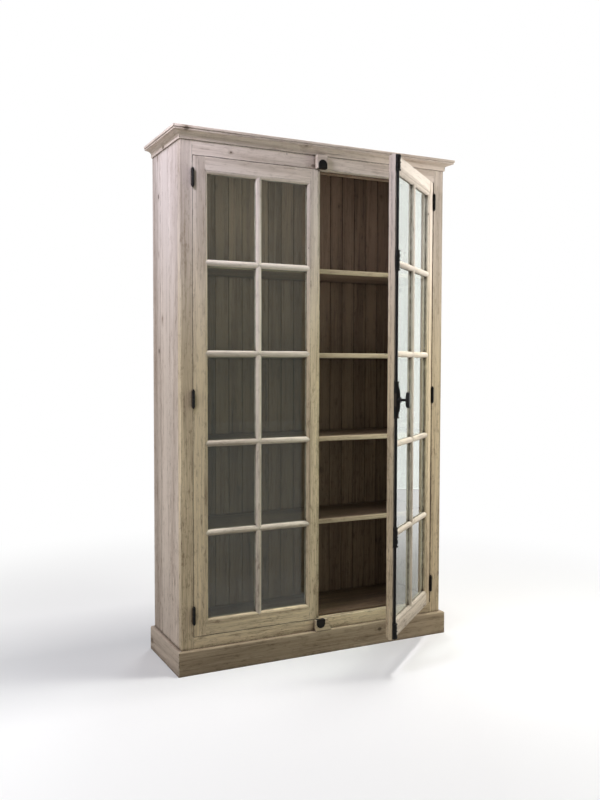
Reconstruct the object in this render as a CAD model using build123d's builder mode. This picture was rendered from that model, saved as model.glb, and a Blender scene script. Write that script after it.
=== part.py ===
"""Glazed display cabinet with two framed doors and a cremone bolt, in millimetres.

+X runs to the right along the front, +Y to the back, +Z up. The origin is on the floor, under the
middle of the carcass. Doors are drawn in a frame of their own: x from the hinge edge to the free
edge, y from the front face inwards, z up from the bottom edge. `hang` then puts them in place.
"""
from math import acos, ceil, cos, pi, radians, sin, tan
import os

from build123d import *

# Carcass
cabinet_height = 2300
carcass_width = 1325
carcass_depth = 390
side_thickness = 26
side_boards = 3
board_joint = 0.6
face_thickness = 35
stile_face = 53
frieze_face = 108
bottom_rail_face = 51
housing_depth = 8
frame_tenon_length = 25
frame_tenon_thickness = 12
frame_tenon_shoulder = 6
arris = 1.5

# Boards across the carcass
bottom_board_thickness = 24
top_board_thickness = 22
top_board_drop = 16
shelf_thickness = 23
shelf_below_bar = 5
shelf_set_back = 11
shelf_nose = 5
door_stop_height = 10
door_stop_thickness = 15
bearer_thickness = 24

# Back
back_boards_across = 19
back_board_thickness = 18
back_board_gap = 1.2
back_lap = 12
tongue_length = 6
tongue_thickness = 5
tongue_play = 0.4
back_chamfer = 2
back_foot = 20
batten_thickness = 18
batten_height = 70

# Plinth and cornice
plinth_height = 105
plinth_thickness = 20
plinth_rounding = 7
cornice_height = 48
cornice_projection = 40
cornice_fascia = 11
cornice_fillet = 7
cornice_step = 4
cornice_band = 12
cornice_band_projection = 6
cornice_rounding = 2

# Doors
door_thickness = 34
door_gap = 2
hinge_gap = 1.8
meeting_gap = 2
meeting_line = -18
rebate_width = 20
rebate_play = 1
member_width = 68
rail_width = 70
bar_width = 26.5
bar_core = 9
bar_core_step = 2
panes_across = 2
panes_down = 5
sticking_depth = 12
sticking_quirk = 1.2
glass_set_back = 16
pane_thickness = 3
pane_play = 1
bead_depth = 11
bead_play = 0.4
crossing_land = 1
door_tenon_length = 30
door_tenon_thickness = 10

# Hinges
hinge_barrel_radius = 6.3
hinge_barrel_half = 35
hinge_pin_radius = 3
hinge_pin_half = 28
hinge_pin_play = 0.06
hinge_pin_end_play = 0.8
hinge_axis_forward = 6.7
hinge_leaf_inlet = 1.5
hinge_leaf_depth = 28
hinge_leaf_play = 0.1
hinge_bearing_gap = 0.3
hinge_finial = 7
hinge_end_distance = 92

# Bolt
rod_radius = 5.5
rod_play = 0.08
rod_stand_off = 7
rod_tip_inset = 1
rod_tip_rounding = 3
pinion_module = 1.5
pinion_teeth = 10
pressure_angle = 30
tooth_addendum = 1.25
tooth_dedendum = 1.6
tooth_backlash = 0.16
rack_web = 2.2
rack_thickness = 7
rack_play = 0.5
rack_teeth_ahead = 2
rack_end_play = 0.6
shoulder_height = 6
case_wall = 1.2
case_overhang = 1.5
case_cavity_depth = 11
case_half_height = 77
case_belly = 17.4
case_collar_radius = 12.6
case_collar_height = 5
case_neck_radius = 10.6
boss_radius = 12
boss_height = 3
knob_travel = 90
knob_length = 66
knob_breadth = 30
knob_thickness = 16
knob_stand_off = 49
knob_flare = 5
knob_flare_height = 7
spindle_radius = 6
spindle_square = 6
spindle_play = 0.08
spindle_end = 45
journal_length = 6
guide_length = 66
guide_end_inset = 3
guide_collar_height = 5
guide_bulb_radius = 12.8
guide_collar_radius = 12.2
guide_neck_radius = 9.4
guide_bead_height = 6
guide_dome_radius = 7.6
middle_guide_length = 84
middle_guide_inset = 437
keeper_width = 43
keeper_height = 38
keeper_proud = 2
keeper_play = 1
keeper_fit = 0.2
top_block_depth = 24
top_block_left = 28
top_block_right = 23
bottom_block_left = 25
bottom_block_right = 35
bottom_block_slope = 20

# The right door stands ajar, and the left door is shut
right_door_open = 40.5

# Planes and places that follow from these sizes
front = -carcass_depth / 2
back = carcass_depth / 2
half_width = carcass_width / 2
inner_half = half_width - side_thickness
opening_half = half_width - stile_face
opening_bottom = plinth_height + bottom_rail_face
opening_top = cabinet_height - frieze_face
cornice_bottom = cabinet_height - cornice_height
side_front = front + face_thickness
shelf_front = side_front + shelf_set_back
back_front = back - batten_thickness - back_board_thickness
door_bottom = opening_bottom + door_gap
door_height = opening_top - opening_bottom - 2 * door_gap
door_middle = door_height / 2
lip_front = (door_thickness + rebate_play) / 2
lap_back = (door_thickness - rebate_play) / 2
sticking_width = bar_width / 2
glass_rebate = (bar_width - bar_core) / 2
tip_length = sticking_width - crossing_land
left_front_width = opening_half - hinge_gap + meeting_line - meeting_gap / 2
right_front_width = opening_half - hinge_gap - meeting_line - meeting_gap / 2
pane_height = (door_height - 2 * rail_width - (panes_down - 1) * bar_width) / panes_down
bar_heights = [rail_width + k * (pane_height + bar_width) - sticking_width for k in range(1, panes_down)]
hinge_heights = [hinge_end_distance, door_middle, door_height - hinge_end_distance]
pitch_radius = pinion_module * pinion_teeth / 2
rod_travel = pitch_radius * radians(knob_travel)
rack_back = pitch_radius + tooth_dedendum + rack_web
case_half_width = rack_back + rack_play + case_wall
bolt_inset = case_half_width - case_overhang
bolt_x = right_front_width - bolt_inset
keeper_x = meeting_line + meeting_gap / 2 + bolt_inset

os.makedirs("parts", exist_ok=True)


def save(part, name):
    """Write one sub-part under its own name."""
    part.label = name
    export_step(part, f"parts/{name}.step")


def board(x_range, y_range, z_range, mode=Mode.ADD):
    """A straight board or cut from its three ranges, in the part that is being built."""
    with Locations(tuple((low + high) / 2 for low, high in (x_range, y_range, z_range))):
        Box(*(high - low for low, high in (x_range, y_range, z_range)), mode=mode)


def save_pair(name, part):
    """Save a left-hand piece of the carcass and its mirror image."""
    save(part, f"left_{name}")
    save(mirror(part, about=Plane.YZ), f"right_{name}")


# Sides: boards edge to edge, housed for the shelves, the top board and the bottom board
bottom_board_z = (opening_bottom + door_stop_height - bottom_board_thickness, opening_bottom + door_stop_height)
top_board_z = (cabinet_height - top_board_drop - top_board_thickness, cabinet_height - top_board_drop)
shelf_middles = [door_bottom + height - shelf_below_bar for height in bar_heights]
shelf_zs = [(z - shelf_thickness / 2, z + shelf_thickness / 2) for z in shelf_middles]
side_pitch = (back - side_front) / side_boards
housing_x = (-inner_half - housing_depth, -inner_half)

with BuildPart() as side:
    for k in range(side_boards):
        near = side_front + k * side_pitch + (board_joint / 2 if k > 0 else 0)
        far = side_front + (k + 1) * side_pitch - (board_joint / 2 if k < side_boards - 1 else 0)
        board((-half_width, -inner_half), (near, far), (0, cabinet_height))
    outer_edges = side.edges().filter_by(Axis.Z).group_by(Axis.X)[0].sort_by(Axis.Y)
    chamfer(outer_edges[1:-1], length=arris)
    for shelf_z in shelf_zs:
        board(housing_x, (shelf_front, back), shelf_z, Mode.SUBTRACT)
    for board_z in (bottom_board_z, top_board_z):
        board(housing_x, (side_front, back), board_z, Mode.SUBTRACT)
    board((-inner_half - back_lap, -inner_half), (back_front, back), (0, cabinet_height), Mode.SUBTRACT)
save_pair("side", side.part)

# Face frame: stiles of full height, and rails between them on stub tenons
frieze_z = (opening_top, cabinet_height)
bottom_rail_z = (plinth_height - face_thickness, opening_bottom)
frame_middle_y = front + face_thickness / 2
frame_tenon_y = (frame_middle_y - frame_tenon_thickness / 2, frame_middle_y + frame_tenon_thickness / 2)


def frame_tenon_z(rail_z):
    return rail_z[0] + frame_tenon_shoulder, rail_z[1] - frame_tenon_shoulder


with BuildPart() as face_stile:
    board((-half_width, -opening_half), (front, side_front), (0, cabinet_height))
    outer_corner = face_stile.edges().filter_by(Axis.Z).group_by(Axis.X)[0].sort_by(Axis.Y)[0]
    fillet(outer_corner, radius=arris)
    for rail_z in (frieze_z, bottom_rail_z):
        mortise_x = (-opening_half - frame_tenon_length, -opening_half)
        board(mortise_x, frame_tenon_y, frame_tenon_z(rail_z), Mode.SUBTRACT)
    for height in hinge_heights:
        inlet_x = (-opening_half - hinge_leaf_inlet - hinge_leaf_play, -opening_half)
        inlet_z = (door_bottom + height - hinge_barrel_half - hinge_leaf_play, door_bottom + height)
        board(inlet_x, (front, front + hinge_leaf_depth + hinge_leaf_play), inlet_z, Mode.SUBTRACT)
save_pair("face_stile", face_stile.part)

for name, rail_z in (("frieze_rail", frieze_z), ("bottom_rail", bottom_rail_z)):
    with BuildPart() as rail:
        board((-opening_half, opening_half), (front, side_front), rail_z)
        tenon_end = opening_half + frame_tenon_length
        board((-tenon_end, tenon_end), frame_tenon_y, frame_tenon_z(rail_z))
    save(rail.part, name)

# Boards across the carcass, housed in the sides
housed_x = (-inner_half - housing_depth, inner_half + housing_depth)

with BuildPart() as bottom_board:
    board(housed_x, (side_front, back_front), bottom_board_z)
    front_arris = bottom_board.edges().filter_by(Axis.X).group_by(Axis.Y)[0].sort_by(Axis.Z)[-1]
    fillet(front_arris, radius=2 * arris)
save(bottom_board.part, "bottom_board")

with BuildPart() as top_board:
    board(housed_x, (side_front, back_front), top_board_z)
save(top_board.part, "top_board")

for k, shelf_z in enumerate(shelf_zs, start=1):
    with BuildPart() as shelf:
        board(housed_x, (shelf_front, back_front), shelf_z)
        nose = shelf.edges().filter_by(Axis.X).group_by(Axis.Y)[0]
        fillet(nose, radius=shelf_nose)
    save(shelf.part, f"shelf_{k}")

with BuildPart() as door_stop:
    stop_y = (side_front, side_front + door_stop_thickness)
    board((-inner_half, inner_half), stop_y, (opening_top - door_stop_height, top_board_z[0]))
save(door_stop.part, "door_stop")

with BuildPart() as centre_bearer:
    board((-bearer_thickness / 2, bearer_thickness / 2), (side_front, back_front), (0, bottom_board_z[0]))
save(centre_bearer.part, "centre_bearer")

# Back: tongued and grooved boards with a small V at each joint, in rebates along the sides
back_half = inner_half + back_lap
back_pitch = 2 * back_half / back_boards_across
back_middle_y = back_front + back_board_thickness / 2
board_middles = [(-back_half + (k + 0.5) * back_pitch, back_middle_y) for k in range(back_boards_across)]
groove_depth = tongue_length - back_board_gap + tongue_play

with BuildPart() as back_boards:
    with BuildSketch(Plane.XY.offset(back_foot)) as back_section:
        with Locations(*board_middles):
            Rectangle(back_pitch - back_board_gap, back_board_thickness)
        chamfer(back_section.vertices().group_by(Axis.Y)[0], length=back_chamfer)
        for x, y in board_middles[1:]:
            left_edge = x - (back_pitch - back_board_gap) / 2
            with Locations((left_edge, y)):
                Rectangle(2 * groove_depth, tongue_thickness + 2 * tongue_play, mode=Mode.SUBTRACT)
            with Locations((left_edge - back_board_gap, y)):
                Rectangle(2 * tongue_length, tongue_thickness)
    extrude(amount=top_board_z[1] - back_foot)
save(back_boards.part, "back_boards")

batten_middles = {"lower": bottom_board_z[0], "middle": cabinet_height / 2, "upper": top_board_z[0]}
for place, z in batten_middles.items():
    with BuildPart() as batten:
        board((-back_half, back_half), (back - batten_thickness, back), (z - batten_height / 2, z + batten_height / 2))
        chamfer(batten.edges().filter_by(Axis.X).group_by(Axis.Y)[-1], length=2 * arris)
    save(batten.part, f"back_batten_{place}")

# Plinth and cornice: lengths round the front and the sides, mitred at the front corners.
# Their sections have x outwards from the carcass and y up
left_mitre = Plane(origin=(-half_width, front, 0), x_dir=(0, 0, 1), z_dir=(1, -1, 0))
right_mitre = Plane(origin=(half_width, front, 0), x_dir=(0, 0, 1), z_dir=(-1, -1, 0))

with BuildSketch() as plinth_section:
    with Locations((plinth_thickness / 2, plinth_height / 2)):
        Rectangle(plinth_thickness, plinth_height)
    top_corner = plinth_section.vertices().group_by(Axis.Y)[-1].sort_by(Axis.X)[-1]
    fillet(top_corner, radius=plinth_rounding)

cove_head = (cornice_projection - 2 * cornice_step, cornice_height - cornice_fascia - cornice_fillet)
cove_foot = (cornice_band_projection, cornice_band)
fillet_face = cornice_projection - cornice_step
fascia_foot = cornice_height - cornice_fascia
with BuildSketch() as cornice_section:
    with BuildLine():
        Polyline(cove_foot, (cornice_band_projection, 0), (0, 0), (0, cornice_height),
                 (cornice_projection, cornice_height), (cornice_projection, fascia_foot),
                 (fillet_face, fascia_foot), (fillet_face, cove_head[1]), cove_head)
        EllipticalCenterArc((cove_head[0], cove_foot[1]), cove_head[0] - cove_foot[0],
                            cove_head[1] - cove_foot[1], 90, arc_size=90)
    make_face()
    fillet(cornice_section.vertices().group_by(Axis.X)[-1], radius=cornice_rounding)


def mitred_front(section, z):
    """The length along the front, cut at both mitres."""
    with BuildPart() as piece:
        with BuildSketch(Plane(origin=(0, front, z), x_dir=(0, -1, 0), z_dir=(-1, 0, 0))):
            add(section)
        extrude(amount=carcass_width, both=True)
        split(bisect_by=left_mitre, keep=Keep.TOP)
        split(bisect_by=right_mitre, keep=Keep.TOP)
    return piece.part


def mitred_return(section, z):
    """The length along the left side, cut at its front mitre."""
    with BuildPart() as piece:
        with BuildSketch(Plane(origin=(-half_width, back, z), x_dir=(-1, 0, 0), z_dir=(0, 1, 0))):
            add(section)
        extrude(amount=-2 * carcass_depth)
        split(bisect_by=left_mitre, keep=Keep.BOTTOM)
    return piece.part


for name, section, z in (("plinth", plinth_section.sketch, 0), ("cornice", cornice_section.sketch, cornice_bottom)):
    save(mitred_front(section, z), f"{name}_front")
    save_pair(name, mitred_return(section, z))

# Doors. Each piece is drawn left-handed in the door's own frame, then hung on the hinge pins
pin_x = opening_half - hinge_gap / 2
pin_y = front - hinge_axis_forward
door_edge = opening_half - hinge_gap


def hang(part, side):
    """Put a piece that is drawn in the door's own frame in its place on the left or right door."""
    if side == "left":
        return part.moved(Location((-door_edge, front, door_bottom)))
    shut = mirror(part, about=Plane.YZ).moved(Location((door_edge, front, door_bottom)))
    return shut.rotate(Axis((pin_x, pin_y, 0), (0, 0, 1)), right_door_open)


def save_door_piece(part, side, name):
    save(hang(part, side), f"{side}_door_{name}")


def member_section(width):
    """Section of a stile or rail: x from its outer edge to the sight line, y from the front inwards."""
    flat = width - sticking_width
    with BuildSketch() as section:
        with BuildLine():
            Polyline((width, sticking_depth), (width, glass_set_back), (width - glass_rebate, glass_set_back),
                     (width - glass_rebate, door_thickness), (0, door_thickness), (0, 0), (flat, 0),
                     (flat, sticking_quirk))
            EllipticalCenterArc((flat, sticking_depth), sticking_width, sticking_depth - sticking_quirk, 270,
                                arc_size=90)
        make_face()
    return section.sketch


def bar_section():
    """The part of a glazing bar in front of the glass: two stickings back to back."""
    with BuildSketch() as section:
        with BuildLine():
            Polyline((sticking_width, sticking_depth), (sticking_width, glass_set_back),
                     (-sticking_width, glass_set_back), (-sticking_width, sticking_depth))
            EllipticalCenterArc((0, sticking_depth), sticking_width, sticking_depth - sticking_quirk, 180,
                                arc_size=180)
        make_face()
    return section.sketch


def cut_to_outline(points):
    """Keep what lies inside an outline drawn on the face of the door, with its mitres."""
    with BuildSketch(Plane.XZ) as outline:
        Polygon(*points, align=None)
    extrude(outline.sketch, amount=2 * door_thickness, both=True, mode=Mode.INTERSECT)


def notch_for_bars(places, turn):
    """Cut the pointed notches for the ends of glazing bars, from the sight line into the sticking."""
    with BuildSketch(Plane.XZ) as notches:
        with Locations(*places):
            Trapezoid(bar_width, tip_length, 45, rotation=turn, align=(Align.CENTER, Align.MIN))
    extrude(notches.sketch, amount=-glass_set_back, mode=Mode.SUBTRACT)


def door_stile(outer, sight, side):
    """A stile between its outer edge and its sight line, mortised and notched for rails and bars."""
    inward = 1 if sight > outer else -1
    width = abs(sight - outer)
    flat = sight - inward * sticking_width
    with BuildPart() as stile:
        section_plane = Plane(origin=(outer, 0, 0), x_dir=(inward, 0, 0), z_dir=(0, 0, inward))
        with BuildSketch(section_plane):
            add(member_section(width))
        extrude(amount=inward * door_height)
        cut_to_outline([(outer, 0), (flat, 0), (flat, rail_width - sticking_width), (sight, rail_width),
                        (sight, door_height - rail_width), (flat, door_height - rail_width + sticking_width),
                        (flat, door_height), (outer, door_height)])
        for tenon_z in door_tenon_zs:
            board(sorted((flat, flat - inward * door_tenon_length)), door_tenon_y, tenon_z, Mode.SUBTRACT)
        notch_for_bars([(sight, z) for z in bar_heights], 90 * inward)
        if inward > 0:
            for height in hinge_heights:
                inlet_z = (height, height + hinge_barrel_half + hinge_leaf_play)
                inlet_y = (0, hinge_leaf_depth + hinge_leaf_play)
                board((0, hinge_leaf_inlet + hinge_leaf_play), inlet_y, inlet_z, Mode.SUBTRACT)
        elif side == "left":
            board((outer - rebate_width, outer), (0, lip_front), (0, door_height), Mode.SUBTRACT)
        else:
            board((outer - rebate_width, outer), (lap_back, door_thickness), (0, door_height), Mode.SUBTRACT)
            with Locations(Location((bolt_x, 0, door_middle), (90, 0, 0))):
                journal = spindle_square / 2 + spindle_play
                Cylinder(journal, 2 * (journal_length + arris), mode=Mode.SUBTRACT)
    return stile.part


def door_rail(first, last, middle):
    """The bottom rail between the two sight lines, with its tenons and the notch for the upright bar."""
    with BuildPart() as rail:
        with BuildSketch(Plane(origin=(0, 0, 0), x_dir=(0, 0, 1), z_dir=(-1, 0, 0))):
            add(member_section(rail_width))
        extrude(amount=-last - member_width)
        shoulder = rail_width - sticking_width
        cut_to_outline([(first - sticking_width, 0), (last + sticking_width, 0), (last + sticking_width, shoulder),
                        (last, rail_width), (first, rail_width), (first - sticking_width, shoulder)])
        reach = sticking_width + door_tenon_length
        board((first - reach, last + reach), door_tenon_y, door_tenon_zs[0])
        notch_for_bars([(middle, rail_width)], 180)
    return rail.part


def bar_outline(middle, low, high):
    """Outline of a glazing bar along z between two sight lines, pointed at both ends."""
    half, land, tip = sticking_width, crossing_land, tip_length
    return [(middle - land, low - tip), (middle + land, low - tip), (middle + half, low), (middle + half, high),
            (middle + land, high + tip), (middle - land, high + tip), (middle - half, high), (middle - half, low)]


def upright_bar(middle):
    """The upright glazing bar, notched where the cross bars meet it."""
    low, high = rail_width, door_height - rail_width
    with BuildPart() as bar:
        with BuildSketch(Plane((middle, 0, low - tip_length))):
            add(bar_section())
        extrude(amount=high - low + 2 * tip_length)
        cut_to_outline(bar_outline(middle, low, high))
        notch_for_bars([(middle - sticking_width, z) for z in bar_heights], 270)
        notch_for_bars([(middle + sticking_width, z) for z in bar_heights], 90)
        core_x = (middle - bar_core / 2, middle + bar_core / 2)
        board(core_x, bar_core_y, (low - glass_rebate, high + glass_rebate))
    return bar.part


def cross_bar(length):
    """A cross bar between the upright bar and a stile, around its own middle."""
    start = Plane(origin=(-length / 2 - tip_length, 0, 0), x_dir=(0, 0, -1), z_dir=(1, 0, 0))
    with BuildPart() as bar:
        with BuildSketch(start):
            add(bar_section())
        extrude(amount=length + 2 * tip_length)
        cut_to_outline([(along, across) for across, along in bar_outline(0, -length / 2, length / 2)])
        board((-length / 2 - glass_rebate, length / 2 + glass_rebate), bar_core_y, (-bar_core / 2, bar_core / 2))
    return bar.part


bar_core_y = (glass_set_back, door_thickness - bar_core_step)
door_tenon_y = (sticking_depth, sticking_depth + door_tenon_thickness)
tenon_foot, tenon_head = sticking_width, rail_width - sticking_width - glass_rebate
door_tenon_zs = [(tenon_foot, tenon_head), (door_height - tenon_head, door_height - tenon_foot)]

for side, width in (("left", left_front_width + rebate_width), ("right", right_front_width)):
    first, last = member_width, width - member_width
    middle = (first + last) / 2
    light_width = (last - first - (panes_across - 1) * bar_width) / panes_across
    light_pitch = (light_width + bar_width, pane_height + bar_width)

    save_door_piece(door_stile(0, first, side), side, "hinge_stile")
    save_door_piece(door_stile(width, last, side), side, "meeting_stile")
    lower_rail = door_rail(first, last, middle)
    save_door_piece(lower_rail, side, "bottom_rail")
    save_door_piece(mirror(lower_rail, about=Plane.XY.offset(door_middle)), side, "top_rail")
    save_door_piece(upright_bar(middle), side, "upright_bar")

    with BuildPart() as cross_bars:
        half_pitch = light_pitch[0] / 2
        with Locations(*[(x, 0, z) for x in (middle - half_pitch, middle + half_pitch) for z in bar_heights]):
            add(cross_bar(light_width))
    save_door_piece(cross_bars.part, side, "cross_bars")

    with BuildPart() as panes:
        edge = 2 * (glass_rebate - pane_play)
        with BuildSketch(Plane(origin=(middle, glass_set_back, door_middle), x_dir=(1, 0, 0), z_dir=(0, -1, 0))):
            with GridLocations(*light_pitch, panes_across, panes_down):
                Rectangle(light_width + edge, pane_height + edge)
        extrude(amount=-pane_thickness)
    save_door_piece(panes.part, side, "panes")

    with BuildPart() as beads:
        edge = 2 * (glass_rebate - bead_play)
        bead_front = glass_set_back + pane_thickness
        with BuildSketch(Plane(origin=(middle, bead_front, door_middle), x_dir=(1, 0, 0), z_dir=(0, -1, 0))):
            with GridLocations(*light_pitch, panes_across, panes_down):
                Rectangle(light_width + edge, pane_height + edge)
                Rectangle(light_width, pane_height, mode=Mode.SUBTRACT)
        extrude(amount=-bead_depth)
        bead_backs = beads.faces().group_by(Axis.Y)[-1]
        chamfer([edge for face in bead_backs for wire in face.inner_wires() for edge in wire.edges()], length=2 * arris)
    save_door_piece(beads.part, side, "beads")

# Hinges: lift-off pattern, the lower half with its pin on the face stile and the upper half on the door.
# The half is drawn as the upper one, around its own axis
leaf_thickness = hinge_gap / 2 + hinge_leaf_inlet
hinge_bore = hinge_pin_radius + hinge_pin_play
with BuildPart() as hinge_half:
    with BuildSketch(Plane.XZ):
        with BuildLine():
            finial_root = (hinge_barrel_radius / 2, hinge_barrel_half)
            finial_tip = (0, hinge_barrel_half + hinge_finial)
            bore_end = hinge_pin_half + hinge_pin_end_play
            Spline(finial_root, (0.68 * hinge_barrel_radius, hinge_barrel_half + 0.36 * hinge_finial),
                   (0.35 * hinge_barrel_radius, hinge_barrel_half + 0.74 * hinge_finial), finial_tip)
            Polyline(finial_tip, (0, bore_end), (hinge_bore, bore_end), (hinge_bore, hinge_bearing_gap / 2),
                     (hinge_barrel_radius, hinge_bearing_gap / 2), (hinge_barrel_radius, hinge_barrel_half),
                     finial_root)
        make_face()
    revolve(axis=Axis.Z)
    leaf_y = ((hinge_bore + hinge_barrel_radius) / 2, hinge_axis_forward + hinge_leaf_depth)
    board((0, leaf_thickness), leaf_y, (hinge_bearing_gap / 2, hinge_barrel_half))

hinge_places = [(-hinge_gap / 2, -hinge_axis_forward, height) for height in hinge_heights]
with BuildPart() as door_hinges:
    with Locations(*hinge_places):
        add(hinge_half.part)
for side in ("left", "right"):
    save_door_piece(door_hinges.part, side, "hinges")

with BuildPart() as frame_hinges:
    with Locations(*hinge_places):
        add(hinge_half.part, rotation=(0, 180, 0))
save_pair("frame_hinges", hang(frame_hinges.part, "left"))

with BuildPart() as hinge_pins:
    with Locations(*hinge_places):
        Cylinder(hinge_pin_radius, 2 * hinge_pin_half)
save_pair("hinge_pins", hang(hinge_pins.part, "left"))

# Cremone bolt on the leading edge of the right door: one knob drives both rods by a pinion and two racks.
# The section plane looks at the door from the front, with the pinion's axis as its origin
tooth_pitch = pi * pinion_module
tooth_half = (tooth_pitch - tooth_backlash) / 4
flank_slope = tan(radians(pressure_angle))
base_radius = pitch_radius * cos(radians(pressure_angle))
tip_radius = pitch_radius + tooth_addendum
root_radius = pitch_radius - tooth_dedendum
flank_start = tooth_half / pitch_radius + flank_slope - radians(pressure_angle)
rack_front = rod_stand_off + rack_thickness / 2
rack_near = rod_stand_off - rack_thickness / 2
rack_teeth_behind = ceil(rod_travel / tooth_pitch) + 1
shoulder_z = (rack_teeth_ahead * tooth_pitch, rack_teeth_ahead * tooth_pitch + shoulder_height)
cavity_half = shoulder_z[1] + rod_travel + rack_end_play
rod_end = door_middle - rod_tip_inset
bolt_axis = Axis((bolt_x, 0, door_middle), (0, 1, 0))


def bolt_plane(forward):
    """Plane parallel to the face of the door, a distance in front of it, looking outwards."""
    return Plane(origin=(bolt_x, -forward, door_middle), x_dir=(1, 0, 0), z_dir=(0, -1, 0))


def flank_point(radius, way):
    """A point of the involute flank of a pinion tooth that lies along x."""
    roll = acos(base_radius / radius)
    turn = way * (flank_start - tan(roll) + roll)
    return radius * cos(turn), radius * sin(turn)


flank_radii = [base_radius + k / 4 * (tip_radius - base_radius) for k in range(5)]
foot = 0.8 * root_radius
with BuildSketch() as pinion_tooth:
    with BuildLine():
        Spline(*[flank_point(radius, 1) for radius in flank_radii])
        Spline(*[flank_point(radius, -1) for radius in flank_radii])
        Line(flank_point(tip_radius, 1), flank_point(tip_radius, -1))
        Polyline(flank_point(base_radius, 1), (foot * cos(flank_start), foot * sin(flank_start)),
                 (foot * cos(flank_start), -foot * sin(flank_start)), flank_point(base_radius, -1))
    make_face()

with BuildPart() as pinion:
    with BuildSketch(bolt_plane(rack_near)):
        Circle(root_radius)
        with PolarLocations(0, pinion_teeth):
            add(pinion_tooth.sketch)
        Rectangle(spindle_square, spindle_square, mode=Mode.SUBTRACT)
    extrude(amount=rack_thickness)
save(hang(pinion.part, "right"), "pinion")

with BuildPart() as rack:
    rack_z = (-rack_teeth_behind * tooth_pitch, rack_teeth_ahead * tooth_pitch)
    root_half = tooth_half + tooth_dedendum * flank_slope
    tip_half = tooth_half - tooth_addendum * flank_slope
    with BuildSketch(bolt_plane(rack_near)):
        with Locations(((-rack_back - pitch_radius - tooth_dedendum) / 2, sum(rack_z) / 2)):
            Rectangle(rack_web, rack_z[1] - rack_z[0])
        for k in range(-rack_teeth_behind, rack_teeth_ahead):
            z = (k + 0.5) * tooth_pitch
            root_x, tip_x = -pitch_radius - tooth_dedendum, -pitch_radius + tooth_addendum
            Polygon((root_x, z - root_half), (tip_x, z - tip_half), (tip_x, z + tip_half), (root_x, z + root_half),
                    align=None)
    extrude(amount=rack_thickness)

with BuildPart() as rod:
    with BuildSketch(Plane((bolt_x, -rod_stand_off, door_middle + shoulder_z[0]))):
        Circle(rod_radius)
    extrude(amount=rod_end - shoulder_z[0])
    fillet(rod.edges().filter_by(GeomType.CIRCLE).sort_by(Axis.Z)[-1], radius=rod_tip_rounding)
    board((bolt_x - rack_back, bolt_x), (-rack_front, -rack_near), [door_middle + z for z in shoulder_z])

for name, piece in (("rack", rack.part), ("rod", rod.part)):
    save(hang(piece, "right"), f"upper_{name}")
    save(hang(piece.rotate(bolt_axis, 180), "right"), f"lower_{name}")


def case_section(z, half_width, depth):
    """D-shaped section of the case: an arch in front of the rods, straight to the door behind them."""
    with BuildSketch(Plane((bolt_x, 0, door_middle + z))) as section:
        with BuildLine():
            EllipticalCenterArc((0, -rod_stand_off), half_width, depth, 180, arc_size=180)
            Polyline((half_width, -rod_stand_off), (half_width, 0), (-half_width, 0), (-half_width, -rod_stand_off))
        make_face()
    return section.sketch


case_end = case_half_height - 2 * case_collar_height
case_waist = (case_end + cavity_half) / 2
waist_half_width = (case_neck_radius + case_half_width) / 2
waist_depth = (case_neck_radius + case_belly) / 2
case_profile = {
    0: (case_half_width, case_belly),
    cavity_half: (case_half_width, case_belly),
    case_waist: (waist_half_width, waist_depth),
    case_end: (case_neck_radius, case_neck_radius),
}
heights = [-z for z in reversed(case_profile) if z > 0] + list(case_profile)
with BuildPart() as bolt_case:
    loft([case_section(z, *case_profile[abs(z)]) for z in heights])
    for way in (-1, 1):
        neck = case_section(way * case_end, case_neck_radius, case_neck_radius)
        extrude(neck, amount=way * case_collar_height)
        collar = case_section(way * (case_end + case_collar_height), case_collar_radius, case_collar_radius)
        extrude(collar, amount=way * case_collar_height)
    with BuildSketch(bolt_plane(rod_stand_off)):
        Circle(boss_radius)
    extrude(amount=case_belly + boss_height)
    cavity_x = (bolt_x - rack_back - rack_play, bolt_x + rack_back + rack_play)
    cavity_z = (door_middle - cavity_half, door_middle + cavity_half)
    board(cavity_x, (-case_cavity_depth, 0), cavity_z, Mode.SUBTRACT)
    with BuildSketch(Plane((bolt_x, -rod_stand_off, door_middle - case_half_height))):
        Circle(rod_radius + rod_play)
    extrude(amount=2 * case_half_height, mode=Mode.SUBTRACT)
    with BuildSketch(bolt_plane(0)):
        Circle(spindle_radius + spindle_play)
    extrude(amount=2 * knob_stand_off, mode=Mode.SUBTRACT)
save(hang(bolt_case.part, "right"), "bolt_case")


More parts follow.
